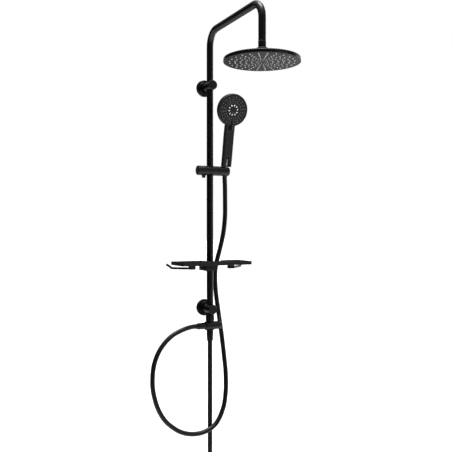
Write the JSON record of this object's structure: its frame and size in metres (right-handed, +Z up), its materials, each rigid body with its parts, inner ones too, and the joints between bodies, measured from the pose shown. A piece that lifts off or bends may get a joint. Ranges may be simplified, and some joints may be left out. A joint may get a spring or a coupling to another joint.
{
  "type": "rainfall shower column",
  "caption": "Wall shower column: riser on brackets, overhead arm with a tilting round rain head, hand shower on a slider, lever diverter, clamp-on shelf and two hoses.",
  "frame": {"origin": "centre of the lower wall plate's back face, on the wall", "axes": "+Z up along the riser, +Y into the wall, +X to the right as the user faces the wall"},
  "size_m": [0.3567, 0.513, 1.5181],
  "materials": {
    "black_coat": "matt black coating with a fine satin grain",
    "black_plastic": "matt black moulded plastic",
    "black_hose": "smooth satin black plastic-sheathed hose",
    "brass": "turned brass",
    "steel": "plain stainless steel",
    "nylon": "white nylon",
    "seal_rubber": "black sealing rubber",
    "nozzle_silicone": "pale grey silicone"
  },
  "bodies": {
    "column": {"arm_o_ring": "seal_rubber", "arm_spigot": "brass", "arm_tube": "black_coat", "diverter_body": "black_coat", "diverter_collar_nut": "black_coat", "hand_hose_3": "black_hose", "hand_hose_4": "black_hose", "lower_bracket_body": "black_coat", "lower_bracket_cap": "black_coat", "lower_bracket_grub_screw": "steel", "lower_rosette": "black_coat", "lower_wall_plate": "brass", "lower_wall_screw_left": "steel", "lower_wall_screw_right": "steel", "outlet_ferrule": "black_coat", "outlet_nut": "black_coat", "riser_tube": "black_coat", "supply_hose": "black_hose", "supply_top_nut": "black_coat", "supply_union_nut": "black_coat", "supply_washer": "seal_rubber", "swivel_nut": "black_coat", "swivel_seal": "seal_rubber", "upper_bracket_body": "black_coat", "upper_bracket_cap": "black_coat", "upper_bracket_grub_screw": "steel", "upper_rosette": "black_coat", "upper_wall_plate": "brass", "upper_wall_screw_left": "steel", "upper_wall_screw_right": "steel"},
    "head_swivel": {"swivel_ball": "black_coat"},
    "rain_head": {"head_collar": "black_coat", "ball_seat_ring": "nylon", "head_shell": "black_coat", "nozzle_mat": "nozzle_silicone", "head_face": "black_plastic"},
    "slider": {"slider_body": "black_coat", "slider_end_cap": "black_plastic", "slider_bush": "nylon", "seat_pivot_screw": "steel", "button_spring": "steel", "hand_hose_2": "black_hose"},
    "release_button": {"release_button": "black_plastic"},
    "hand_seat": {"hand_seat": "black_coat", "hand_hose_1": "black_hose"},
    "hand_shower": {"hose_cone_nut": "black_coat", "hand_inlet_stem": "steel", "hand_shell": "black_plastic", "spray_face": "black_plastic"},
    "mode_ring": {"mode_ring": "black_plastic"},
    "diverter_knob": {"diverter_spindle": "brass", "diverter_knob": "black_coat", "knob_lever_pin": "black_coat"},
    "shelf": {"shelf_tray": "black_plastic", "shelf_clamp": "black_plastic", "shelf_clamp_pad": "nylon", "shelf_clamp_screw": "steel", "shelf_hook_left": "black_plastic", "shelf_hook_right": "black_plastic"}
  },
  "joints": [
    {"name": "head_turn", "type": "hinge", "parent": "column", "child": "head_swivel", "pos_m": [0, -0.402, 0.776], "axis": [0, 0, 1], "continuous": true},
    {"name": "head_tilt", "type": "hinge", "parent": "head_swivel", "child": "rain_head", "pos_m": [0, -0.402, 0.776], "axis": [1, 0, 0], "range_deg": [-12, 12]},
    {"name": "slider_slide", "type": "slide", "parent": "column", "child": "slider", "axis": [0, 0, 1], "range_m": [-0.15, 0.17], "deforming": ["hand_hose_3"]},
    {"name": "button_press", "type": "slide", "parent": "slider", "child": "release_button", "axis": [0, 0, 1], "range_m": [0, 0.003], "stiffness_N_per_m": 600, "springref_m": -0.002, "deforming": ["button_spring"]},
    {"name": "seat_tilt", "type": "hinge", "parent": "slider", "child": "hand_seat", "pos_m": [0.0475, -0.05, 0.46], "axis": [1, 0, 0], "range_deg": [-1, 30], "deforming": ["hand_hose_2"]},
    {"name": "hand_lift", "type": "slide", "parent": "hand_seat", "child": "hand_shower", "axis": [0, -0.2419, 0.9703], "range_m": [0, 0.05], "deforming": ["hand_hose_1"]},
    {"name": "mode_turn", "type": "hinge", "parent": "hand_shower", "child": "mode_ring", "pos_m": [0.057, -0.09971, 0.6594], "axis": [0, -0.9703, -0.2419], "range_deg": [-30, 30]},
    {"name": "knob_turn", "type": "hinge", "parent": "column", "child": "diverter_knob", "pos_m": [0.03, -0.05, -0.0557], "axis": [1, 0, 0], "range_deg": [0, 90]},
    {"name": "shelf_slide", "type": "slide", "parent": "column", "child": "shelf", "axis": [0, 0, 1], "range_m": [-0.09, 0.045]}
  ]
}
